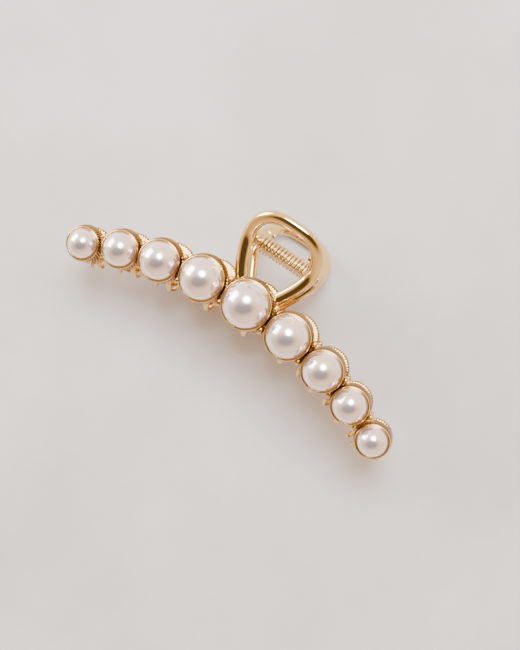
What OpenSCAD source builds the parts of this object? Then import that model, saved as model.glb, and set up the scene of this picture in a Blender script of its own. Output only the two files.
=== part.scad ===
// Claw clip: two identical cast halves, each with a row of set pearls, a row of
// teeth and a finger loop, joined by a hinge pin inside a torsion spring.
// The clip lies on its rear half. X runs along the row, Y towards the finger
// loops and Z up, away from the table. Millimetres.

/* [Pearl row] */
// Pearls on each side of the middle one
side_pearls = 4; // [2:1:4]
// Diameter of the middle pearl
middle_pearl_d = 12; // [11.6:0.1:12.4]
// How much smaller each pearl is than the one before it
pearl_step_d = 1; // [0.9:0.05:1.1]
// Gap between neighbouring bezels
bezel_gap = 0.5; // [0.4:0.1:0.8]
// Extra gap before the last bezel at each end
end_gap = 0.8; // [0:0.1:1]
// Radius of the arc that the row follows
row_r = 87; // [84:1:100]
// Angle at which the plane of that arc leans towards the other half
row_lean = 30; // [20:1:31]
// Height of the middle seat above the plane between the halves
seat_z = 11; // [10.8:0.1:11.6]

/* [Settings] */
// Wall of each bezel
bezel_wall = 0.55; // [0.5:0.05:0.6]
// Height of each bezel above its seat
bezel_h = 2.0; // [1.6:0.1:2.4]
// Floor of each bezel
bezel_floor = 0.5; // [0.4:0.1:0.6]
// Height of the pearl's centre above the seat
pearl_rise = 1.2; // [1:0.1:1.4]
// Height of the ribbed gallery below the seat
gallery_h = 2.2; // [2:0.1:2.4]
// How far the gallery flares out at its foot
gallery_flare = 0.3; // [0.1:0.1:0.5]
// Angle at which the settings face away from the finger loop
setting_tilt = 6; // [0:1:8]
// Share of the row's slope that the settings follow
setting_fan = 0.45; // [0.3:0.05:0.6]

/* [Teeth] */
// Width of the rail under the galleries
rail_w = 5; // [4:0.5:6]
// Thickness of the rail
rail_t = 1.4; // [1.2:0.1:1.5]
// Distance of each tooth from the middle of its setting
tooth_shift = 2.8; // [2.4:0.1:3]
// Reach of each tooth, as a share of its seat's height above the plane between the halves
tooth_reach = 1.25; // [1.1:0.01:1.28]
// Radius of a tooth at its root
tooth_root_r = 1.2; // [1:0.1:1.3]
// Radius of a tooth at its tip
tooth_tip_r = 0.55; // [0.4:0.05:0.7]

/* [Finger loop] */
// Width of the band that forms the loop
band_w = 3.4; // [3:0.1:3.5]
// Thickness of that band
band_t = 2.7; // [2.4:0.1:3]
// Distance from the row to the middle of the band at the top of the loop, along Y
loop_top_y = 22.5; // [22:0.1:23]
// Y at which the loop bends outward
bend_y = 14.6; // [14.4:0.1:14.8]
// Length over which it bends
bend_soft = 1.2; // [1:0.1:1.4]

/* [Hinge] */
// Distance from the row to the hinge pin, along Y
hinge_y = 15; // [14.8:0.1:15.2]
// Diameter of the hinge pin
pin_d = 2.0; // [1.8:0.1:2.2]
// Radius of the ears round the pin
ear_r = 2.2; // [2:0.1:2.4]
// Thickness of each ear
ear_t = 1.1; // [1:0.05:1.2]
// Distance from the middle of the clip to the inner ears
ear_x = 8.1; // [8:0.05:8.3]
// Gap between neighbouring ears
ear_gap = 0.2; // [0.2:0.05:0.3]
// Radial clearance of the pin in the turning ears
pin_clearance = 0.05; // [0.03:0.01:0.08]

/* [Spring] */
// Diameter of the spring wire
wire_d = 0.9; // [0.8:0.05:0.95]
// Radius of the coil's centreline
coil_r = 1.95; // [1.9:0.05:2.1]
// Number of turns
turns = 15; // [12:1:16]
// Length of each leg
leg_l = 11.2; // [10:0.1:11.3]
// Angle of each leg above the plane between the halves
leg_angle = 61; // [58:1:61]

/* [Hidden] */
$fn = 32;
bezel_fn = 48;
pin_r = pin_d / 2;
wire_r = wire_d / 2;
row_k = [-side_pearls : side_pearls];
// How far a shape is sunk into the one it stands on.
sink = 0.2;

// The row: pearl sizes, and the arc length from the middle to each setting.
function pearl_r(k) = (middle_pearl_d - pearl_step_d * abs(k)) / 2;
function bezel_r(k) = pearl_r(k) + bezel_wall;
function gap(n) = bezel_gap + (n == side_pearls ? end_gap : 0);
function row_s(n) = n <= 0 ? 0 : row_s(n - 1) + bezel_r(n - 1) + bezel_r(n) + gap(n);
function row_a(k) = sign(k) * row_s(abs(k)) / row_r * 180 / PI;
function row_point(a) = [row_r * sin(a),
                         -row_r * (1 - cos(a)) * cos(row_lean),
                         seat_z - row_r * (1 - cos(a)) * sin(row_lean)];
function row_pitch(a) = asin(sin(row_lean) * sin(a));
function row_yaw(a) = -atan2(cos(row_lean) * sin(a), cos(a));

// Height of the clip's middle plane: the middle pearl and the loop both touch the table.
pearl_top_z = seat_z + pearl_rise * cos(setting_tilt) + pearl_r(0);
lie_z = pearl_top_z;

// The loop's band rises along its length as a smooth bend between two slopes.
foot_z = 8.5;
leg_rise = 0.1;
tip_reach = 1.49;
tip_z = pearl_top_z - tip_reach;
loop_rise = (tip_z - foot_z - leg_rise * loop_top_y) / (loop_top_y - bend_y);
function band_z(y) = foot_z + leg_rise * y
    + loop_rise * bend_soft * ln(1 + exp((y - bend_y) / bend_soft));
function band_slope(y) = leg_rise + loop_rise / (1 + exp(-(y - bend_y) / bend_soft));

// Y of the row frame's origin, in the middle of the clip's length along Y.
middle_y = 4.19;

// The clip's right half outline: control points of a cubic spline from the top of
// the loop round its corner and down to its foot.
loop_side = [[5, loop_top_y], [8.95, 19.9], [9.95, 15.2], [8.25, 10], [5.8, 5.6], [3, 1.2], [1, -3.4]];
loop_control = concat([for (i = [len(loop_side) - 1 : -1 : 0]) [-loop_side[i].x, loop_side[i].y]],
                      [[0, loop_top_y]], loop_side);
function spline(c, i, t) = (c[i] * pow(1 - t, 3) + c[i + 1] * (3 * pow(t, 3) - 6 * t * t + 4)
    + c[i + 2] * (-3 * pow(t, 3) + 3 * t * t + 3 * t + 1) + c[i + 3] * pow(t, 3)) / 6;
loop_steps = 4;
loop_path = [for (i = [0 : len(loop_control) - 4], j = [0 : loop_steps - 1])
             let (p = spline(loop_control, i, j / loop_steps)) [p.x, p.y, band_z(p.y)]];

function unit(v) = v / norm(v);
function tangent(p, i) = unit(p[min(i + 1, len(p) - 1)] - p[max(i - 1, 0)]);

// A closed tube through rings of points, each ring with the same number of sides.
module tube(rings) {
    n = len(rings[0]);
    m = len(rings);
    polyhedron(points = [for (r = rings) each r],
               faces = concat([[for (j = [n - 1 : -1 : 0]) j]], [[for (j = [0 : n - 1]) (m - 1) * n + j]],
                              [for (i = [0 : m - 2], j = [0 : n - 1])
                               [i * n + j, i * n + (j + 1) % n, (i + 1) * n + (j + 1) % n, (i + 1) * n + j]]));
}

// Places a half's own shapes: the rear half is the front one turned over about Y.
module place(front) {
    translate([0, -middle_y, lie_z]) rotate([0, front ? 0 : 180, 0]) children();
}

module at_row(a, share = 1) {
    translate(row_point(a)) rotate([setting_tilt, share * row_pitch(a), row_yaw(a)]) children();
}

// One set pearl, cut flat at the back.
module pearl(k) {
    color("ivory") at_row(row_a(k), setting_fan) intersection() {
        translate([0, 0, pearl_rise]) sphere(r = pearl_r(k), $fn = bezel_fn);
        translate([0, 0, bezel_floor]) cylinder(r = pearl_r(k) + 1, h = pearl_r(k) + pearl_rise + 1);
    }
}

// One bezel: a shallow cup whose wall holds the pearl.
pearl_play = 0.05;
module bezel(k) {
    inner = pearl_r(k) + pearl_play;
    color("gold") at_row(row_a(k), setting_fan) rotate_extrude($fn = bezel_fn)
        polygon([[0, 0], [bezel_r(k), 0], [bezel_r(k), bezel_h], [inner, bezel_h],
                 [inner, bezel_floor], [0, bezel_floor]]);
}

module gallery(k) {
    at_row(row_a(k), setting_fan) translate([0, 0, -gallery_h])
        cylinder(r1 = bezel_r(k) + gallery_flare, r2 = bezel_r(k), h = gallery_h, $fn = bezel_fn);
}

slice_t = 0.1;
module rail_slice(a) {
    at_row(a) translate([0, 0, -gallery_h - rail_t / 2 + sink])
        cube([slice_t, rail_w, rail_t], center = true);
}

module rail() {
    step = row_a(side_pearls) / (2 * side_pearls);
    for (i = [-2 * side_pearls : 2 * side_pearls - 1]) hull() {
        rail_slice(i * step);
        rail_slice((i + 1) * step);
    }
}

// One tooth: a tapering hook that leaves the rail, bows out past the bezel and
// reaches to the other half. It follows a cubic curve through four control points.
tooth_root_y = -2;
tooth_root_sink = 0.6;
tooth_shoulder = 0.4;
tooth_bow = 3.2;
tooth_tip_out = 0.4;
tooth_n = 6;
function bezier(c, t) = c[0] * pow(1 - t, 3) + c[1] * 3 * t * pow(1 - t, 2)
    + c[2] * 3 * t * t * (1 - t) + c[3] * pow(t, 3);
module tooth(k) {
    a = row_a(k) + (k == side_pearls ? 0 : tooth_shift / row_r * 180 / PI);
    drop = row_point(a).z * tooth_reach;
    out = bezel_r(k);
    c = [[0, tooth_root_y, -gallery_h - tooth_root_sink],
         [0, -out - tooth_shoulder, -gallery_h - sink],
         [0, -out - tooth_bow, -gallery_h - 0.4 * drop],
         [0, -out - tooth_tip_out, -drop]];
    size = pearl_r(k) / pearl_r(0);
    at_row(a) for (i = [0 : tooth_n - 1]) hull() for (t = [i / tooth_n, (i + 1) / tooth_n])
        translate(bezier(c, t))
            sphere(r = size * (tooth_root_r + (tooth_tip_r - tooth_root_r) * t), $fn = 12);
}

// The casting that carries the settings: the rail and the galleries on it.
module jaw() {
    color("goldenrod") {
        for (k = row_k) gallery(k);
        rail();
    }
}

module teeth() {
    color("goldenrod") for (k = row_k) tooth(k);
}

// The swept band of the finger loop.
module band() {
    sides = 12;
    tube([for (i = [0 : len(loop_path) - 1])
          let (p = loop_path[i], t = tangent(loop_path, i),
               up = unit([0, -band_slope(p.y), 1]), side = cross(up, t))
          [for (j = [0 : sides - 1]) let (b = -j * 360 / sides)
           p + side * band_w / 2 * cos(b) + up * band_t / 2 * sin(b)]]);
}

// An arm from the band down to the pin, at ear position n (0 inner, 1 outer).
arm_inset = 0.4;
module ear(x_side, n) {
    x = x_side * (ear_x + n * (ear_t + ear_gap) + ear_t / 2);
    translate([x, hinge_y, 0]) {
        rotate([0, 90, 0]) cylinder(r = ear_r, h = ear_t, center = true);
        translate([-ear_t / 2, -ear_r + arm_inset, 0])
            cube([ear_t, 2 * (ear_r - arm_inset), band_z(hinge_y)]);
    }
}

// The lug inside the loop's corner that the spring's leg presses on.
lug_at = [8, 18.6];
lug_l = 3;
lug_t = 1.4;
module spring_lug() {
    translate([lug_at.x, lug_at.y, band_z(lug_at.y)]) rotate([atan(band_slope(lug_at.y)), 0, 0])
        translate([-lug_l / 2, -lug_l / 2, -band_t / 2]) cube([lug_l, lug_l, lug_t]);
}

module handle() {
    color("gold") difference() {
        union() {
            band();
            ear(1, 0);
            ear(-1, 1);
            spring_lug();
        }
        translate([0, hinge_y, 0]) rotate([0, 90, 0])
            cylinder(r = pin_r + pin_clearance, h = 4 * ear_x, center = true);
    }
}

// The pin, with a riveted head at each end.
head_play = 0.1;
head_h = 0.4;
head_r = pin_r + 0.4;
module hinge_pin() {
    half = ear_x + 2 * ear_t + ear_gap + head_play;
    color("goldenrod") place(true) translate([0, hinge_y, 0]) rotate([0, 90, 0]) {
        cylinder(r = pin_r, h = 2 * half + sink, center = true);
        for (s = [-1, 1]) translate([0, 0, s * (half + head_h / 2)])
            cylinder(r = head_r, h = head_h, center = true);
    }
}

// The torsion spring: a close coil with a straight leg at each end.
coil_sides = 8;
coil_steps = 12;
coil_half = 7.4;
function leg_dir(s) = [0, cos(leg_angle), s * sin(leg_angle)];
coil_from = leg_angle + 90;
coil_sweep = 360 * turns - 2 * coil_from;
coil_count = coil_steps * turns;
coil_path = [for (i = [0 : coil_count]) let (u = i / coil_count, a = -coil_from - coil_sweep * u)
             [coil_half * (2 * u - 1), coil_r * cos(a), coil_r * sin(a)]];
spring_path = concat([coil_path[0] + leg_l * leg_dir(-1)], coil_path,
                     [coil_path[coil_count] + leg_l * leg_dir(1)]);

module torsion_spring() {
    color("khaki") place(true) translate([0, hinge_y, 0])
        tube([for (i = [0 : len(spring_path) - 1])
              let (p = spring_path[i], t = tangent(spring_path, i),
                   side = unit(cross(t, abs(t.x) > 0.9 ? [0, 0, 1] : [1, 0, 0])), up = cross(side, t))
              [for (j = [0 : coil_sides - 1]) let (b = -j * 360 / coil_sides)
               p + wire_r * (side * cos(b) + up * sin(b))]]);
}

NODES = ["front_jaw", "front_teeth", "front_handle", "rear_jaw", "rear_teeth", "rear_handle",
         "hinge_pin", "torsion_spring",
         "front_bezel_1", "front_bezel_2", "front_bezel_3", "front_bezel_4", "front_bezel_5",
         "front_bezel_6", "front_bezel_7", "front_bezel_8", "front_bezel_9",
         "front_pearl_1", "front_pearl_2", "front_pearl_3", "front_pearl_4", "front_pearl_5",
         "front_pearl_6", "front_pearl_7", "front_pearl_8", "front_pearl_9",
         "rear_bezel_1", "rear_bezel_2", "rear_bezel_3", "rear_bezel_4", "rear_bezel_5",
         "rear_bezel_6", "rear_bezel_7", "rear_bezel_8", "rear_bezel_9",
         "rear_pearl_1", "rear_pearl_2", "rear_pearl_3", "rear_pearl_4", "rear_pearl_5",
         "rear_pearl_6", "rear_pearl_7", "rear_pearl_8", "rear_pearl_9"];
node = "all";
function shown(name) = node == "all" || node == name;

if (shown("front_jaw")) place(true) jaw();
if (shown("rear_jaw")) place(false) jaw();
if (shown("front_teeth")) place(true) teeth();
if (shown("rear_teeth")) place(false) teeth();
if (shown("front_handle")) place(true) handle();
if (shown("rear_handle")) place(false) handle();
if (shown("hinge_pin")) hinge_pin();
if (shown("torsion_spring")) torsion_spring();
for (k = row_k) {
    if (shown(str("front_bezel_", k + side_pearls + 1))) place(true) bezel(k);
    if (shown(str("front_pearl_", k + side_pearls + 1))) place(true) pearl(k);
    if (shown(str("rear_bezel_", k + side_pearls + 1))) place(false) bezel(k);
    if (shown(str("rear_pearl_", k + side_pearls + 1))) place(false) pearl(k);
}
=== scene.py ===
"""Looks of a claw clip with a row of set pearls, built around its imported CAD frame."""

import math

import bmesh
import bpy
import numpy as np
from mathutils import Matrix, Vector


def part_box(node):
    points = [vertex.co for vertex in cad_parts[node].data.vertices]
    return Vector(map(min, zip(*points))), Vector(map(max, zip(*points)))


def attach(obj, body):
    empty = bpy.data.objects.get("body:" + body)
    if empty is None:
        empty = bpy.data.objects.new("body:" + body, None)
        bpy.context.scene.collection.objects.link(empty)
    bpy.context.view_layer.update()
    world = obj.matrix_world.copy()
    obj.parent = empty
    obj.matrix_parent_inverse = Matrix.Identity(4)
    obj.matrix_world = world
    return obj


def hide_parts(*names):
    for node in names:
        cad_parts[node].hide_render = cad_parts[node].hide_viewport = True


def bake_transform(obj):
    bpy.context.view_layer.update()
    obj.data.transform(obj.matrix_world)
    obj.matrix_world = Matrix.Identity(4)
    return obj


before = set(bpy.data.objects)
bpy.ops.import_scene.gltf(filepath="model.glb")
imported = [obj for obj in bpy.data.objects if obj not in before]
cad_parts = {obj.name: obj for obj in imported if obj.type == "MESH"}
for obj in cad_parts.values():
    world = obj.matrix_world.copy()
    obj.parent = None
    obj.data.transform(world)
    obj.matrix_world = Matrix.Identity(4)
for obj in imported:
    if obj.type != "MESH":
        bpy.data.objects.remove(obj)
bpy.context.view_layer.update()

MM = 0.001

# The row of settings, in millimetres, in a half's own frame: the middle seat is at
# x = 0, y = 0, and z = 0 is the plane between the halves.
SIDE_PEARLS = 4
MIDDLE_PEARL_R = 6.0
PEARL_STEP_R = 0.5
BEZEL_WALL = 0.55
BEZEL_GAP = 0.5
END_GAP = 0.8
ROW_R = 87.0
ROW_LEAN = math.radians(30)
SEAT_Z = 11.0
BEZEL_H = 2.0
PEARL_RISE = 1.2
GALLERY_H = 2.2
GALLERY_FLARE = 0.3
SETTING_TILT = 6.0
SETTING_FAN = 0.45
RAIL_T = 1.4
RAIL_W = 5.0
RAIL_SINK = 0.2

# Teeth.
TOOTH_SHIFT = 2.8
TOOTH_REACH = 1.25
TOOTH_ROOT_R = 1.2
TOOTH_TIP_R = 0.55
TOOTH_BOW = 3.2

# Finger loop.
BAND_W = 3.4
BAND_T = 2.7
LOOP_TOP_Y = 22.5
BEND_Y = 14.6
BEND_SOFT = 1.2
FOOT_Z = 8.5
LEG_RISE = 0.1
TIP_REACH = 1.49
LOOP_SIDE = [(5, LOOP_TOP_Y), (8.95, 19.9), (9.95, 15.2), (8.25, 10), (5.8, 5.6), (3, 1.2),
             (1, -3.4)]

# Hinge and spring.
HINGE_Y = 15.0
PIN_R = 1.0
PIN_CLEARANCE = 0.05
EAR_R = 2.2
EAR_T = 1.1
EAR_X = 8.1
EAR_GAP = 0.2
WIRE_R = 0.45
COIL_R = 1.95
COIL_HALF = 7.4
TURNS = 15
LEG_L = 11.2
LEG_ANGLE = math.radians(61)

# Where a half's own frame lies in the row frame: the hinge pin gives both numbers.
pin_low, pin_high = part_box("hinge_pin")
PIN_MIDDLE = [(a + b) / 2 / MM for a, b in zip(pin_low, pin_high)]
MIDDLE_Y = HINGE_Y - PIN_MIDDLE[1]
LIE_Z = PIN_MIDDLE[2]

ROW_K = range(-SIDE_PEARLS, SIDE_PEARLS + 1)


# ---------------------------------------------------------------- the row's rule

def pearl_r(k):
    return MIDDLE_PEARL_R - PEARL_STEP_R * abs(k)


def bezel_r(k):
    return pearl_r(k) + BEZEL_WALL


def row_s(n):
    """Distance along the row from the middle seat to seat n."""
    if n <= 0:
        return 0.0
    gap = BEZEL_GAP + (END_GAP if n == SIDE_PEARLS else 0.0)
    return row_s(n - 1) + bezel_r(n - 1) + bezel_r(n) + gap


def row_a(k):
    return math.copysign(row_s(abs(k)) / ROW_R, k)


def row_point(a):
    sag = ROW_R * (1 - math.cos(a))
    low, back = sag * math.sin(ROW_LEAN), sag * math.cos(ROW_LEAN)
    return Vector((ROW_R * math.sin(a), -back, SEAT_Z - low))


def at_row(a, share=1.0):
    """A place on the row: tilted, turned along the arc and pitched by a share of its slope."""
    pitch = share * math.asin(math.sin(ROW_LEAN) * math.sin(a))
    yaw = -math.atan2(math.cos(ROW_LEAN) * math.sin(a), math.cos(a))
    tilt = Matrix.Rotation(math.radians(SETTING_TILT), 4, "X")
    turn = Matrix.Rotation(yaw, 4, "Z") @ Matrix.Rotation(pitch, 4, "Y") @ tilt
    return Matrix.Translation(row_point(a)) @ turn


def half_place(front):
    """A half's own frame in the row frame, in metres."""
    turn = Matrix.Rotation(0 if front else math.pi, 4, "Y")
    return Matrix.Scale(MM, 4) @ Matrix.Translation((0, -MIDDLE_Y, LIE_Z)) @ turn


# ---------------------------------------------------------------- mesh building

def mesh_object(name, parts, place, sharp_angle=40):
    """One mesh object from (points, faces) parts, placed by a matrix and shaded smooth."""
    points, faces = [], []
    for part_points, part_faces in parts:
        base = len(points)
        points += [tuple(place @ Vector(p)) for p in part_points]
        faces += [tuple(i + base for i in f) for f in part_faces]
    mesh = bpy.data.meshes.new(name)
    mesh.from_pydata(points, [], faces)
    mesh.validate()
    work = bmesh.new()
    work.from_mesh(mesh)
    bmesh.ops.recalc_face_normals(work, faces=work.faces)
    work.to_mesh(mesh)
    work.free()
    mesh.shade_smooth()
    mesh.set_sharp_from_angle(angle=math.radians(sharp_angle))
    obj = bpy.data.objects.new(name, mesh)
    bpy.context.scene.collection.objects.link(obj)
    return obj


def moved(part, matrix):
    points, faces = part
    return [tuple(matrix @ Vector(p)) for p in points], faces


def tube(rings):
    """A closed skin through rings of points, with a fan cap on each end."""
    n, m = len(rings[0]), len(rings)
    points = [tuple(p) for ring in rings for p in ring]
    faces = [
        (i * n + j, i * n + (j + 1) % n, (i + 1) * n + (j + 1) % n, (i + 1) * n + j)
        for i in range(m - 1) for j in range(n)
    ]
    for i in (0, m - 1):
        middle = np.mean([points[i * n + j] for j in range(n)], axis=0)
        points.append(tuple(middle))
        faces += [(i * n + j, i * n + (j + 1) % n, len(points) - 1) for j in range(n)]
    return points, faces


def lathe(profile, sides, rib=None):
    """Turns a closed profile of (radius, height) about Z. rib(angle, i) adds to the radius."""
    m = len(profile)
    points, faces = [], []
    for j in range(sides):
        angle = 2 * math.pi * j / sides
        for i, (r, z) in enumerate(profile):
            r += rib(angle, i) if rib else 0.0
            points.append((r * math.cos(angle), r * math.sin(angle), z))
    for j in range(sides):
        for i in range(m):
            a, b = j * m + i, j * m + (i + 1) % m
            c, d = ((j + 1) % sides) * m + (i + 1) % m, ((j + 1) % sides) * m + i
            faces.append((a, b, c, d))
    return points, faces


def spin_cap(profile, sides):
    """Turns an open profile that starts and ends on the axis about Z."""
    points = [(0, 0, profile[0][1]), (0, 0, profile[-1][1])]
    faces = []
    inner = profile[1:-1]
    m = len(inner)
    for j in range(sides):
        angle = 2 * math.pi * j / sides
        points += [(r * math.cos(angle), r * math.sin(angle), z) for r, z in inner]
    for j in range(sides):
        a, b = 2 + j * m, 2 + ((j + 1) % sides) * m
        faces.append((0, a, b))
        faces.append((1, b + m - 1, a + m - 1))
        faces += [(a + i, a + i + 1, b + i + 1, b + i) for i in range(m - 1)]
    return points, faces


def arc(cx, cz, r, start, end, steps):
    """Points of an arc in a lathe profile, angles in degrees."""
    angles = [math.radians(start + (end - start) * i / steps) for i in range(steps + 1)]
    return [(cx + r * math.cos(a), cz + r * math.sin(a)) for a in angles]


def tangents(path):
    out = np.gradient(np.array(path, float), axis=0)
    return out / np.linalg.norm(out, axis=1)[:, None]


def unit(v):
    return v / np.linalg.norm(v)


# ---------------------------------------------------------------- materials

def new_material(name):
    material = bpy.data.materials.new(name)
    material.use_nodes = True
    tree = material.node_tree
    shader = next(n for n in tree.nodes if n.type == "BSDF_PRINCIPLED")
    return material, tree, shader


def node(tree, kind, **values):
    made = tree.nodes.new(kind)
    for key, value in values.items():
        if key in made.inputs:
            made.inputs[key].default_value = value
        else:
            setattr(made, key, value)
    return made


def ramp(tree, fac, stops):
    made = node(tree, "ShaderNodeValToRGB")
    elements = made.color_ramp.elements
    for i, (place, color) in enumerate(stops):
        element = elements[i] if i < 2 else elements.new(place)
        element.position = place
        element.color = (*color, 1)
    tree.links.new(fac, made.inputs["Fac"])
    return made.outputs["Color"]


# The least and most roughness across a piece, as shares of its plating's own, and the height in
# metres of its casting waves and its polish grain.
SMOOTHEST, ROUGHEST = 0.75, 1.3
WAVE_HEIGHT = 0.0002
GRAIN_HEIGHT = 0.00002
# Painted shade: what is left of the colour at the bottom of the ribs' hollows.
GROOVE_PAINTED_SHADE = 0.22


def gold(name, light, dark, rough, grain, dents, painted_groove_shade=False):
    """Pale-gold plating: faint colour drift, a fine polish grain and soft casting waves.

    With its last argument set, the colour is painted darker where a value stored on the mesh nears
    1: painted shade in the ribs' hollows and towards the cup's lip."""
    material, tree, shader = new_material(name)
    links = tree.links
    place = node(tree, "ShaderNodeTexCoord").outputs["Object"]
    drift = node(tree, "ShaderNodeTexNoise", Scale=180.0, Detail=3.0, Roughness=0.55)
    waves = node(tree, "ShaderNodeTexNoise", Scale=420.0, Detail=1.0)
    fine = node(tree, "ShaderNodeTexNoise", Scale=4200.0, Detail=2.0)
    for texture in (drift, waves, fine):
        links.new(place, texture.inputs["Vector"])
    color = ramp(tree, drift.outputs["Fac"], [(0.35, dark), (0.65, light)])
    # Painted shade: the colour is darkened by a value stored on the mesh.
    if painted_groove_shade:
        depth = node(tree, "ShaderNodeAttribute", attribute_name="painted_groove_shade")
        shade = node(tree, "ShaderNodeMapRange")
        shade.inputs["To Min"].default_value = 1.0
        shade.inputs["To Max"].default_value = GROOVE_PAINTED_SHADE
        links.new(depth.outputs["Fac"], shade.inputs["Value"])
        scaled = node(tree, "ShaderNodeVectorMath", operation="SCALE")
        links.new(color, scaled.inputs["Vector"])
        links.new(shade.outputs["Result"], scaled.inputs["Scale"])
        color = scaled.outputs["Vector"]
    links.new(color, shader.inputs["Base Color"])
    spread = node(tree, "ShaderNodeMapRange")
    spread.inputs["To Min"].default_value = rough * SMOOTHEST
    spread.inputs["To Max"].default_value = rough * ROUGHEST
    links.new(drift.outputs["Fac"], spread.inputs["Value"])
    links.new(spread.outputs["Result"], shader.inputs["Roughness"])
    soft = node(tree, "ShaderNodeBump", Strength=dents, Distance=WAVE_HEIGHT)
    links.new(waves.outputs["Fac"], soft.inputs["Height"])
    sharp = node(tree, "ShaderNodeBump", Strength=grain, Distance=GRAIN_HEIGHT)
    links.new(fine.outputs["Fac"], sharp.inputs["Height"])
    links.new(soft.outputs["Normal"], sharp.inputs["Normal"])
    links.new(sharp.outputs["Normal"], shader.inputs["Normal"])
    shader.inputs["Metallic"].default_value = 1.0
    return material


NACRE_WARM = (0.97, 0.77, 0.72)
NACRE_MIDDLE = (1.0, 0.82, 0.77)
NACRE_ROSY = (0.96, 0.80, 0.83)


def nacre(name):
    """Imitation pearl: a satin, half-mirroring skin with faint warm and rosy clouds."""
    material, tree, shader = new_material(name)
    links = tree.links
    place = node(tree, "ShaderNodeTexCoord").outputs["Object"]
    clouds = node(tree, "ShaderNodeTexNoise", Scale=260.0, Detail=2.0)
    links.new(place, clouds.inputs["Vector"])
    stops = [(0.3, NACRE_WARM), (0.5, NACRE_MIDDLE), (0.7, NACRE_ROSY)]
    body = ramp(tree, clouds.outputs["Fac"], stops)
    links.new(body, shader.inputs["Base Color"])
    shader.inputs["Metallic"].default_value = 0.82
    shader.inputs["Roughness"].default_value = 0.20
    shader.inputs["Coat Weight"].default_value = 0.5
    shader.inputs["Coat Roughness"].default_value = 0.12
    shader.inputs["Coat IOR"].default_value = 1.5
    return material


HANDLE_GOLD = gold("handle_gold", (0.87, 0.63, 0.28), (0.84, 0.58, 0.24), 0.08, 0.15, 0.08)
CAST_GOLD = gold("cast_gold", (0.82, 0.54, 0.22), (0.71, 0.44, 0.16), 0.20, 0.25, 0.30)
# The ribbed gold carries painted shade in the ribs' hollows and towards the lip.
RIBBED_GOLD = gold("ribbed_gold", (0.72, 0.41, 0.13), (0.62, 0.33, 0.09), 0.22, 0.25, 0.20, True)
BEZEL_GOLD = gold("bezel_gold", (0.84, 0.55, 0.23), (0.76, 0.47, 0.17), 0.18, 0.20, 0.20)
WIRE_GOLD = gold("wire_gold", (0.85, 0.66, 0.32), (0.79, 0.58, 0.26), 0.16, 0.25, 0.05)
PEARL = nacre("nacre")


def finish_piece(obj, body, material, replaced=None):
    obj.data.materials.clear()
    obj.data.materials.append(material)
    if body:
        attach(obj, body)
    if replaced:
        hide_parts(*replaced)
    return obj


# ---------------------------------------------------------------- settings and pearls

ROUND_SIDES = 96

# A pearl: the play round it, its flat back's height and width, and its dome's steps.
PEARL_PLAY = 0.03
BACK_Z = 0.55
BACK_WIDE = 0.9
DOME_TOP = 89
DOME_STEPS = 40

# A cup: the play inside it, how far its wall stands in from its outer radius below and at the lip,
# and how far the lip's roll starts below it outside and inside.
CUP_PLAY = 0.02
WALL_IN = 0.15
NECK_IN = 0.12
LIP_IN = 0.04
NECK_DROP = 0.28
NECK_STEP = 0.1
INNER_DROP = 0.35
LIP_OVER = 0.16
LIP_START = -10
LIP_STEPS = 12

# A gallery: its slanting ribs, its round foot, its faint bulge and its closed back.
RIB_PITCH = 0.74
RIB_DEPTH = 0.44
RIB_MIDDLE = 0.7
RIB_TWIST = 1.5
RIB_TOP = 1.25
RIB_STEPS = 14
RIB_SIDES = 8
RIB_FADE = 7
FOOT_ROUND = 0.5
FOOT_STEPS = 6
FOOT_FLAT = 0.3
BULGE = 0.1
GALLERY_IN = 0.2
CLOSED_R = 0.02
# Painted shade on the gallery: how much the colour darkens towards the lip, and how far the painted
# shade spreads across the ribs' hollows.
LIP_PAINTED_SHADE = 0.65
PAINTED_SHADE_SPREAD = 0.6


def pearl_part(k):
    """A half-pearl: a dome down to just above the bezel's floor."""
    r = pearl_r(k) - PEARL_PLAY
    low = math.degrees(math.asin((BACK_Z - PEARL_RISE) / r))
    profile = [(0, BACK_Z), (r * BACK_WIDE, BACK_Z)]
    profile += arc(0, PEARL_RISE, r, low, DOME_TOP, DOME_STEPS) + [(0, PEARL_RISE + r)]
    return spin_cap(profile, ROUND_SIDES)


def bezel_part(k):
    """The cup: a wall inside the ribbed gallery and a rounded lip drawn in over the pearl."""
    outer, inner = bezel_r(k), pearl_r(k) + CUP_PLAY
    middle, half = (outer + inner - LIP_OVER) / 2, (outer - inner + LIP_OVER) / 2
    neck = BEZEL_H - half - NECK_DROP
    profile = [(inner, 0.0), (outer - WALL_IN, 0.0), (outer - NECK_IN, neck)]
    profile += [(outer - LIP_IN, neck + NECK_STEP)]
    profile += arc(middle, BEZEL_H - half, half, LIP_START, 180, LIP_STEPS)
    profile += [(inner, BEZEL_H - half - INNER_DROP)]
    return lathe(profile, ROUND_SIDES)


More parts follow.
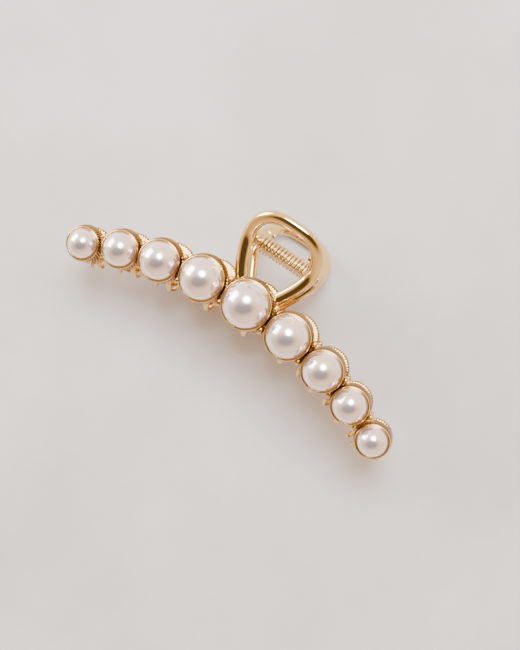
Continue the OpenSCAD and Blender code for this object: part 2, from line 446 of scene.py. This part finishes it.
def gallery_part(k):
    """The ribbed, closed-backed wall round the cup, and each point's painted shade: darker in the
    ribs' hollows and towards the lip.
    """
    top, foot = bezel_r(k) - LIP_IN, bezel_r(k) + GALLERY_FLARE
    ribs = round(2 * math.pi * (top + foot) / 2 / RIB_PITCH)
    low = FOOT_ROUND - GALLERY_H
    profile = [(CLOSED_R, -GALLERY_H), (foot - FOOT_ROUND - FOOT_FLAT, -GALLERY_H)]
    profile += arc(foot - FOOT_ROUND, low, FOOT_ROUND, -90, 0, FOOT_STEPS)
    ribbed = [0.0, 0.0, 0.5] + [1.0] * FOOT_STEPS
    shaded = [0.0] * len(ribbed)
    for i in range(1, RIB_STEPS + 1):
        t = i / RIB_STEPS
        bulge = BULGE * math.sin(math.pi * t)
        profile.append((foot + (top - foot) * t + bulge, low + (RIB_TOP - low) * t))
        ribbed.append(min(1.0, RIB_FADE * (1 - t)))
        shaded.append(LIP_PAINTED_SHADE * t)
    profile += [(top - GALLERY_IN, RIB_TOP), (top - GALLERY_IN, 0.0), (CLOSED_R, 0.0)]
    ribbed += [0.0] * 3
    shaded += [0.0] * 3
    twist = RIB_TWIST / foot / (RIB_TOP + GALLERY_H)
    sides = ribs * RIB_SIDES

    def crest(angle, i):
        return abs(math.cos(ribs * (angle - twist * profile[i][1]) / 2))

    def rib(angle, i):
        return ribbed[i] * RIB_DEPTH * (crest(angle, i) - RIB_MIDDLE)

    # Painted shade for each point: dark in the ribs' hollows, and darker towards the lip.
    painted_shades = []
    for j in range(sides):
        for i in range(len(profile)):
            deep = ribbed[i] * (1 - crest(2 * math.pi * j / sides, i)) ** PAINTED_SHADE_SPREAD
            painted_shades.append(deep + (1 - deep) * shaded[i])
    return lathe(profile, sides, rib), painted_shades


def make_settings(side, front):
    body = side + "_half"
    place = half_place(front)
    for k in ROW_K:
        number = k + SIDE_PEARLS + 1
        seat = place @ at_row(row_a(k), SETTING_FAN)
        pearl = mesh_object(f"{side}_half_pearl_{number}", [pearl_part(k)], seat, sharp_angle=50)
        finish_piece(pearl, body, PEARL, [f"{side}_pearl_{number}"])
        bezel = mesh_object(f"{side}_bezel_cup_{number}", [bezel_part(k)], seat, sharp_angle=60)
        finish_piece(bezel, body, BEZEL_GOLD, [f"{side}_bezel_{number}"])
        wall, painted_shades = gallery_part(k)
        gallery = mesh_object(f"{side}_gallery_{number}", [wall], seat, sharp_angle=60)
        # The painted shade values go on the mesh, for the ribbed gold to darken its colour by.
        painted_shade_layer = gallery.data.attributes.new("painted_groove_shade", "FLOAT", "POINT")
        painted_shade_layer.data.foreach_set("value", painted_shades)
        finish_piece(gallery, body, RIBBED_GOLD)


# ---------------------------------------------------------------- rail and teeth

RAIL_STEPS = 96
RAIL_CORNER = 0.5

# The web between the galleries: its section, its height and how much it narrows to the ends.
WEB_W = 6.6
WEB_T = 1.5
WEB_CORNER = 0.6
WEB_Z = -1.25
WEB_NARROWING = 0.25

# The nubs in the notches: radius, how much it falls with each seat, place in the notch and shape.
BEAD_R = 0.9
BEAD_FALL = 0.05
BEAD_OUT = 0.54
BEAD_SHAPE = (1.0, 1.3, 1.1)
BEAD_CAP = 80
BEAD_STEPS = 12
BEAD_SIDES = 24

# A tooth: where it leaves the rail, how far its shoulder and tip stand out from the gallery, how
# far down its bow is as a share of its drop, and its section's depth as a share of its width.
TOOTH_ROOT_Y = -2
TOOTH_ROOT_SINK = 0.6
TOOTH_OUT = 0.4
TOOTH_BOW_AT = 0.4
TOOTH_DEEP = 0.92
TOOTH_STEPS = 28
TOOTH_SIDES = 20
TIP_STEPS = 6


def rounded_bar(width, height, corner, steps=4):
    """Outline of a bar's section with round corners, middle at the origin."""
    out = []
    x, z = width / 2 - corner, height / 2 - corner
    for cx, cz, start in ((1, 1, 0), (-1, 1, 90), (-1, -1, 180), (1, -1, 270)):
        out += arc(cx * x, cz * z, corner, start, start + 90, steps)
    return out


def swept(section, level, narrowing=0.0):
    """A section swept along the row at a height, getting narrower towards the ends."""
    end = row_a(SIDE_PEARLS)
    rings = []
    for i in range(RAIL_STEPS + 1):
        a = end * (2 * i / RAIL_STEPS - 1)
        seat = at_row(a)
        wide = 1 - narrowing * abs(a / end)
        rings.append([seat @ Vector((0, y * wide, level + z)) for y, z in section])
    return tube(rings)


def rail_part():
    """The bar that carries the settings."""
    return swept(rounded_bar(RAIL_W, RAIL_T, RAIL_CORNER), RAIL_SINK - GALLERY_H - RAIL_T / 2)


def web_part():
    """The strip between the galleries, which fills the notches between neighbouring cups."""
    return swept(rounded_bar(WEB_W, WEB_T, WEB_CORNER), WEB_Z, WEB_NARROWING)


def bead_part(n, side):
    """A cast nub in the notch between seats n and n + 1, on one side of the row."""
    a = (row_a(n) + row_a(n + 1)) / 2
    r = BEAD_R * (1 - BEAD_FALL * abs(2 * n + 1))
    notch = min(bezel_r(n), bezel_r(n + 1))
    profile = [(0, -r)] + arc(0, 0, r, -BEAD_CAP, BEAD_CAP, BEAD_STEPS) + [(0, r)]
    place = at_row(a, SETTING_FAN) @ Matrix.Translation((0, side * notch * BEAD_OUT, 0))
    return moved(spin_cap(profile, BEAD_SIDES), place @ Matrix.Diagonal((*BEAD_SHAPE, 1.0)))


def bezier(corners, t):
    a, b, c, d = corners
    return a * (1 - t) ** 3 + b * 3 * t * (1 - t) ** 2 + c * 3 * t * t * (1 - t) + d * t ** 3


def tooth_part(k):
    """A hook that leaves the rail, bends down past the cups and ends in a round tip."""
    a = row_a(k) + (0 if k == SIDE_PEARLS else TOOTH_SHIFT / ROW_R)
    drop = row_point(a).z * TOOTH_REACH
    out = bezel_r(k)
    corners = [np.array(p) for p in (
        (0, TOOTH_ROOT_Y, -GALLERY_H - TOOTH_ROOT_SINK),
        (0, -out - TOOTH_OUT, -GALLERY_H - RAIL_SINK),
        (0, -out - TOOTH_BOW, -GALLERY_H - TOOTH_BOW_AT * drop),
        (0, -out - TOOTH_OUT, -drop))]
    size = pearl_r(k) / MIDDLE_PEARL_R
    ts = [i / TOOTH_STEPS for i in range(TOOTH_STEPS + 1)]
    path = [bezier(corners, t) for t in ts]
    along = tangents(path)
    tip_r = size * TOOTH_TIP_R
    stations = []
    for t, p, d in zip(ts, path, along):
        stations.append((p, d, size * (TOOTH_ROOT_R + (TOOTH_TIP_R - TOOTH_ROOT_R) * t)))
    for i in range(1, TIP_STEPS):
        s = math.sin(math.radians(90 * i / TIP_STEPS))
        stations.append((path[-1] + along[-1] * tip_r * s, along[-1], tip_r * math.sqrt(1 - s * s)))
    angles = [2 * math.pi * j / TOOTH_SIDES for j in range(TOOTH_SIDES)]
    wide = np.array((1.0, 0, 0))
    skin = []
    for p, d, r in stations:
        deep = np.cross(d, wide)
        skin.append([p + wide * r * math.cos(b) + deep * r * TOOTH_DEEP * math.sin(b)
                     for b in angles])
    return moved(tube(skin), at_row(a))


def make_jaw(side, front):
    body = side + "_half"
    place = half_place(front)
    beads = [bead_part(n, s) for n in list(ROW_K)[:-1] for s in (-1, 1)]
    rail = mesh_object(f"{side}_rail", [rail_part(), web_part()] + beads, place, sharp_angle=50)
    finish_piece(rail, body, CAST_GOLD, [f"{side}_jaw"])
    hooks = [tooth_part(k) for k in ROW_K]
    teeth = mesh_object(f"{side}_tooth_row", hooks, place, sharp_angle=60)
    finish_piece(teeth, body, CAST_GOLD, [f"{side}_teeth"])


# ---------------------------------------------------------------- finger loops

PEARL_TOP_Z = SEAT_Z + PEARL_RISE * math.cos(math.radians(SETTING_TILT)) + MIDDLE_PEARL_R
LOOP_RISE = (PEARL_TOP_Z - TIP_REACH - FOOT_Z - LEG_RISE * LOOP_TOP_Y) / (LOOP_TOP_Y - BEND_Y)


def band_z(y):
    """Height of the band's middle line: a gentle slope with a soft bend to a steep one."""
    bend = math.log(1 + math.exp((y - BEND_Y) / BEND_SOFT))
    return FOOT_Z + LEG_RISE * y + LOOP_RISE * BEND_SOFT * bend


def band_slope(y):
    return LEG_RISE + LOOP_RISE / (1 + math.exp(-(y - BEND_Y) / BEND_SOFT))


def loop_path(steps):
    """The middle line of the band: a cubic spline through the loop's outline points."""
    side = [np.array(p, float) for p in LOOP_SIDE]
    control = [p * (-1, 1) for p in reversed(side)] + [np.array((0, LOOP_TOP_Y))] + side
    path = []
    for i in range(len(control) - 3):
        for j in range(steps):
            t = j / steps
            weights = ((1 - t) ** 3, 3 * t ** 3 - 6 * t * t + 4,
                       -3 * t ** 3 + 3 * t * t + 3 * t + 1, t ** 3)
            x, y = sum(w * c for w, c in zip(weights, control[i:i + 4])) / 6
            path.append(np.array((x, y, band_z(y))))
    return path


BAND_STEPS = 16
BAND_SIDES = 36
BAND_POWER = 0.92


def band_part():
    """The band: a soft-cornered oval section that leans with the slope."""
    path = loop_path(BAND_STEPS)
    rings = []
    for p, d in zip(path, tangents(path)):
        up = unit(np.array((0, -band_slope(p[1]), 1)))
        across = unit(np.cross(up, d))
        ring = []
        for j in range(BAND_SIDES):
            b = 2 * math.pi * j / BAND_SIDES
            c, s = math.cos(b), math.sin(b)
            x = math.copysign(abs(c) ** BAND_POWER, c) * BAND_W / 2
            z = math.copysign(abs(s) ** BAND_POWER, s) * BAND_T / 2
            ring.append(p + across * x + up * z)
        rings.append(ring)
    return tube(rings)


EAR_SIDES = 64
EAR_EDGE = 0.16
ARM_INSET = 0.4
ARM_SINK = 0.2


def ear_reach(angle):
    """Distance from the pin's middle to the ear's edge: a round end below, an arm above."""
    across, along = abs(math.cos(angle)), math.sin(angle)
    if along <= 0:
        return EAR_R
    to_side = (EAR_R - ARM_INSET) / max(across, 1e-6)
    to_top = (band_z(HINGE_Y) - ARM_SINK) / along
    return max(EAR_R, min(to_side, to_top))


def ear_part(x_side, n):
    """A flat arm with a round bored end: n is 0 for the inner ear and 1 for the outer one."""
    middle = x_side * (EAR_X + n * (EAR_T + EAR_GAP) + EAR_T / 2)
    bore, half = PIN_R + PIN_CLEARANCE, EAR_T / 2
    flat = half - EAR_EDGE
    angles = [2 * math.pi * (j + 0.5) / EAR_SIDES for j in range(EAR_SIDES)]
    rows = [[(x, ear_reach(b) - inset, b) for b in angles]
            for x, inset in ((-flat, 0.0), (flat, 0.0), (half, EAR_EDGE))]
    wide = bore + EAR_EDGE
    rows += [[(x, r, b) for b in angles]
             for x, r in ((half, wide), (flat, bore), (-flat, bore), (-half, wide))]
    rows.append([(-half, ear_reach(b) - EAR_EDGE, b) for b in angles])
    points = [(middle + x, HINGE_Y + r * math.cos(b), r * math.sin(b))
              for row in rows for x, r, b in row]
    faces = []
    for i in range(len(rows)):
        a, b = i * EAR_SIDES, (i + 1) % len(rows) * EAR_SIDES
        for j in range(EAR_SIDES):
            k = (j + 1) % EAR_SIDES
            faces.append((a + j, a + k, b + k, b + j))
    return points, faces


LUG_AT = (8.0, 18.6)
LUG_L = 3.0
LUG_T = 1.4
LUG_CORNER = 0.35
# Stations along the lug, as shares of its length, with the share of its section at each.
LUG_STATIONS = ((-0.5, 0.8), (-0.45, 1), (0.45, 1), (0.5, 0.8))


def lug_part():
    """The pad inside the loop's corner that the spring's leg bears on."""
    x_at, y_at = LUG_AT
    slope = math.atan(band_slope(y_at))
    place = Matrix.Translation((x_at, y_at, band_z(y_at))) @ Matrix.Rotation(slope, 4, "X")
    section = rounded_bar(LUG_L, LUG_T, LUG_CORNER)
    level = (LUG_T - BAND_T) / 2
    return tube([[place @ Vector((x * LUG_L, y * share, z * share + level)) for y, z in section]
                 for x, share in LUG_STATIONS])


def make_handle(side, front):
    parts = [band_part(), ear_part(1, 0), ear_part(-1, 1), lug_part()]
    handle = mesh_object(f"{side}_finger_loop", parts, half_place(front), sharp_angle=45)
    finish_piece(handle, side + "_half", HANDLE_GOLD, [f"{side}_handle"])


# ---------------------------------------------------------------- pin and spring

HEAD_PLAY = 0.1
HEAD_R = PIN_R + 0.4
PIN_SIDES = 48
# A riveted head's profile from its crown to the pin: radius, and height over its seat.
HEAD_DOME = ((0, 0.4), (0.5, 0.39), (1.0, 0.32), (1.3, 0.18), (HEAD_R, 0.08), (HEAD_R, 0),
             (PIN_R, 0))


def make_pin():
    half = EAR_X + 2 * EAR_T + EAR_GAP + HEAD_PLAY
    profile = [(r, -half - z) for r, z in HEAD_DOME]
    profile += [(r, half + z) for r, z in reversed(HEAD_DOME)]
    across = Matrix.Rotation(math.pi / 2, 4, "Y")
    place = half_place(True) @ Matrix.Translation((0, HINGE_Y, 0)) @ across
    pin = mesh_object("rivet_pin", [spin_cap(profile, PIN_SIDES)], place, sharp_angle=45)
    finish_piece(pin, "rear_half", WIRE_GOLD, ["hinge_pin"])


TURN_STEPS = 36
LEG_STEPS = 24
WIRE_SIDES = 14
# The wire's radius at its cut ends, as a share of its own.
WIRE_END = 0.75


def spring_path():
    """The wire's middle line: a straight leg, the close coil and the other leg."""
    start = LEG_ANGLE + math.pi / 2
    sweep = 2 * math.pi * TURNS - 2 * start
    count = TURN_STEPS * TURNS
    coil = []
    for i in range(count + 1):
        u = i / count
        a = -start - sweep * u
        x = COIL_HALF * (2 * u - 1)
        coil.append(np.array((x, COIL_R * math.cos(a), COIL_R * math.sin(a))))
    legs = []
    for sign, root in ((-1, coil[0]), (1, coil[-1])):
        leg = np.array((0, math.cos(LEG_ANGLE), sign * math.sin(LEG_ANGLE)))
        legs.append([root + leg * LEG_L * i / LEG_STEPS for i in range(1, LEG_STEPS + 1)])
    return legs[0][::-1] + coil + legs[1]


def make_spring():
    path = spring_path()
    angles = [2 * math.pi * j / WIRE_SIDES for j in range(WIRE_SIDES)]
    rings = []
    side = np.array((1.0, 0, 0))
    for i, (p, d) in enumerate(zip(path, tangents(path))):
        side = unit(side - d * np.dot(side, d))
        up = np.cross(side, d)
        r = WIRE_R * (WIRE_END if i in (0, len(path) - 1) else 1)
        rings.append([p + r * (side * math.cos(b) + up * math.sin(b)) for b in angles])
    place = half_place(True) @ Matrix.Translation((0, HINGE_Y, 0))
    spring = mesh_object("coil_spring", [tube(rings)], place, sharp_angle=60)
    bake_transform(spring)
    finish_piece(spring, None, WIRE_GOLD, ["torsion_spring"])


# ---------------------------------------------------------------- stage, light, camera

FLOOR_HALF = 2.0
PLASTER_DARK = (0.61, 0.515, 0.465)
PLASTER_LIGHT = (0.77, 0.66, 0.60)


def make_floor():
    """A pale plaster board with faint clouds."""
    mesh = bpy.data.meshes.new("floor")
    signs = ((-1, -1), (1, -1), (1, 1), (-1, 1))
    mesh.from_pydata([(x * FLOOR_HALF, y * FLOOR_HALF, 0) for x, y in signs], [], [(0, 1, 2, 3)])
    floor = bpy.data.objects.new("floor", mesh)
    bpy.context.scene.collection.objects.link(floor)
    material, tree, shader = new_material("plaster")
    links = tree.links
    place = node(tree, "ShaderNodeTexCoord").outputs["Object"]
    clouds = node(tree, "ShaderNodeTexNoise", Scale=14.0, Detail=5.0, Roughness=0.6)
    links.new(place, clouds.inputs["Vector"])
    color = ramp(tree, clouds.outputs["Fac"], [(0.3, PLASTER_DARK), (0.7, PLASTER_LIGHT)])
    links.new(color, shader.inputs["Base Color"])
    shader.inputs["Roughness"].default_value = 0.75
    shader.inputs["Specular IOR Level"].default_value = 0.2
    floor.data.materials.append(material)


def make_world():
    """Bright walls all round, with a wide dark patch overhead: the camera and its operator."""
    world = bpy.data.worlds.new("studio")
    bpy.context.scene.world = world
    world.use_nodes = True
    tree = world.node_tree
    links = tree.links
    background = next(n for n in tree.nodes if n.type == "BACKGROUND")
    way = node(tree, "ShaderNodeTexCoord").outputs["Generated"]
    far = node(tree, "ShaderNodeMath", operation="SQRT")
    squares = []
    for axis, size in ((DARK_ACROSS, DARK_WIDE), (DARK_ALONG, DARK_TALL)):
        part = node(tree, "ShaderNodeVectorMath", operation="DOT_PRODUCT")
        part.inputs[1].default_value = axis / size
        links.new(way, part.inputs[0])
        offset = node(tree, "ShaderNodeMath", operation="SUBTRACT")
        offset.inputs[1].default_value = DARK_WAY.dot(axis) / size
        links.new(part.outputs["Value"], offset.inputs[0])
        square = node(tree, "ShaderNodeMath", operation="POWER")
        square.inputs[1].default_value = 2.0
        links.new(offset.outputs[0], square.inputs[0])
        squares.append(square)
    both = node(tree, "ShaderNodeMath", operation="ADD")
    links.new(squares[0].outputs[0], both.inputs[0])
    links.new(squares[1].outputs[0], both.inputs[1])
    links.new(both.outputs[0], far.inputs[0])
    scaled = node(tree, "ShaderNodeMath", operation="MULTIPLY")
    scaled.inputs[1].default_value = FAR_SCALE
    links.new(far.outputs[0], scaled.inputs[0])
    stops = [(DARK_END, DARK_COLOR), (WALL_START, WALL_COLOR), (HORIZON_START, HORIZON_COLOR)]
    shade = ramp(tree, scaled.outputs[0], stops)
    links.new(shade, background.inputs["Color"])
    background.inputs["Strength"].default_value = WORLD_STRENGTH


def softbox(name, way, distance, width, height, power, color, shape):
    """An area light that faces the clip. A disk takes only the width."""
    light = bpy.data.lights.new(name, "AREA")
    light.shape = shape
    light.size = width
    if shape == "RECTANGLE":
        light.size_y = height
    light.energy = power
    light.color = color
    obj = bpy.data.objects.new(name, light)
    bpy.context.scene.collection.objects.link(obj)
    place = Vector(way).normalized() * distance
    obj.location = place
    obj.rotation_euler = (-place).to_track_quat("-Z", "Y").to_euler()


# The camera, in the row frame: the way from the clip to it, its roll, its distance in metres and
# its focal length in pixels of a picture FRAME_H high.
VIEW_WAY = Vector((0.1028, 0.057, 0.9931)).normalized()
VIEW_ROLL = math.radians(34.16)
VIEW_DISTANCE = 0.2892
VIEW_F = 1169.6
FRAME_H = 650
SENSOR = 36.0
LOOK_AT = Vector((0.00589, -0.00642, 0.032))


def camera_axes():
    """Right, up and back of the camera in the row frame."""
    back = VIEW_WAY
    flat_right = Vector((1, 0, 0))
    right0 = (flat_right - back * flat_right.dot(back)).normalized()
    up0 = back.cross(right0)
    right = right0 * math.cos(VIEW_ROLL) + up0 * math.sin(VIEW_ROLL)
    up = back.cross(right)
    return right, up, back


RIGHT, UP, BACK = camera_axes()


def make_camera():
    data = bpy.data.cameras.new("camera")
    data.sensor_width = SENSOR
    data.lens = VIEW_F * SENSOR / FRAME_H
    data.clip_start = 0.01
    camera = bpy.data.objects.new("camera", data)
    bpy.context.scene.collection.objects.link(camera)
    turn = Matrix((RIGHT, UP, BACK)).transposed().to_4x4()
    camera.matrix_world = Matrix.Translation(LOOK_AT + BACK * VIEW_DISTANCE) @ turn
    bpy.context.scene.camera = camera


def toward(right, up, out):
    """A direction from the photographer's right and up along the table, and out of it."""
    flat_right = Vector((RIGHT.x, RIGHT.y, 0)).normalized()
    flat_up = Vector((0, 0, 1)).cross(flat_right)
    return (flat_right * right + flat_up * up + Vector((0, 0, out))).normalized()


# The dark patch overhead: its middle, its axes and its half-widths.
DARK_WAY = toward(-0.1, -0.28, 0.95)
DARK_ACROSS = toward(1, 0, 0)
DARK_ALONG = toward(0, 1, 0)
DARK_WIDE = 0.85
DARK_TALL = 0.55

# Where the patch ends and the walls and the horizon start, on the scaled distance from its middle.
FAR_SCALE = 0.5
DARK_END = 0.33
WALL_START = 0.50
HORIZON_START = 0.75
DARK_COLOR = (0.13, 0.09, 0.055)
WALL_COLOR = (1.18, 0.82, 0.44)
HORIZON_COLOR = (2.10, 1.64, 1.16)
WORLD_STRENGTH = 1.0

WINDOW_WAY = toward(-0.75, 0.56, 0.34)
WINDOW_COLOR = (0.75, 0.88, 1.0)
LAMP_WAY = toward(0.176, 0.39, 0.903)
LAMP_COLOR = (0.66, 0.84, 1.0)


def make_lights():
    softbox("window", WINDOW_WAY, 0.8, 0.55, 0.45, 12.5, WINDOW_COLOR, "RECTANGLE")
    softbox("lamp", LAMP_WAY, 0.9, 0.46, 0.46, 16.0, LAMP_COLOR, "DISK")


make_camera()
for side_name, is_front in (("front", True), ("rear", False)):
    make_settings(side_name, is_front)
    make_jaw(side_name, is_front)
    make_handle(side_name, is_front)
make_pin()
make_spring()
make_floor()
make_world()
make_lights()
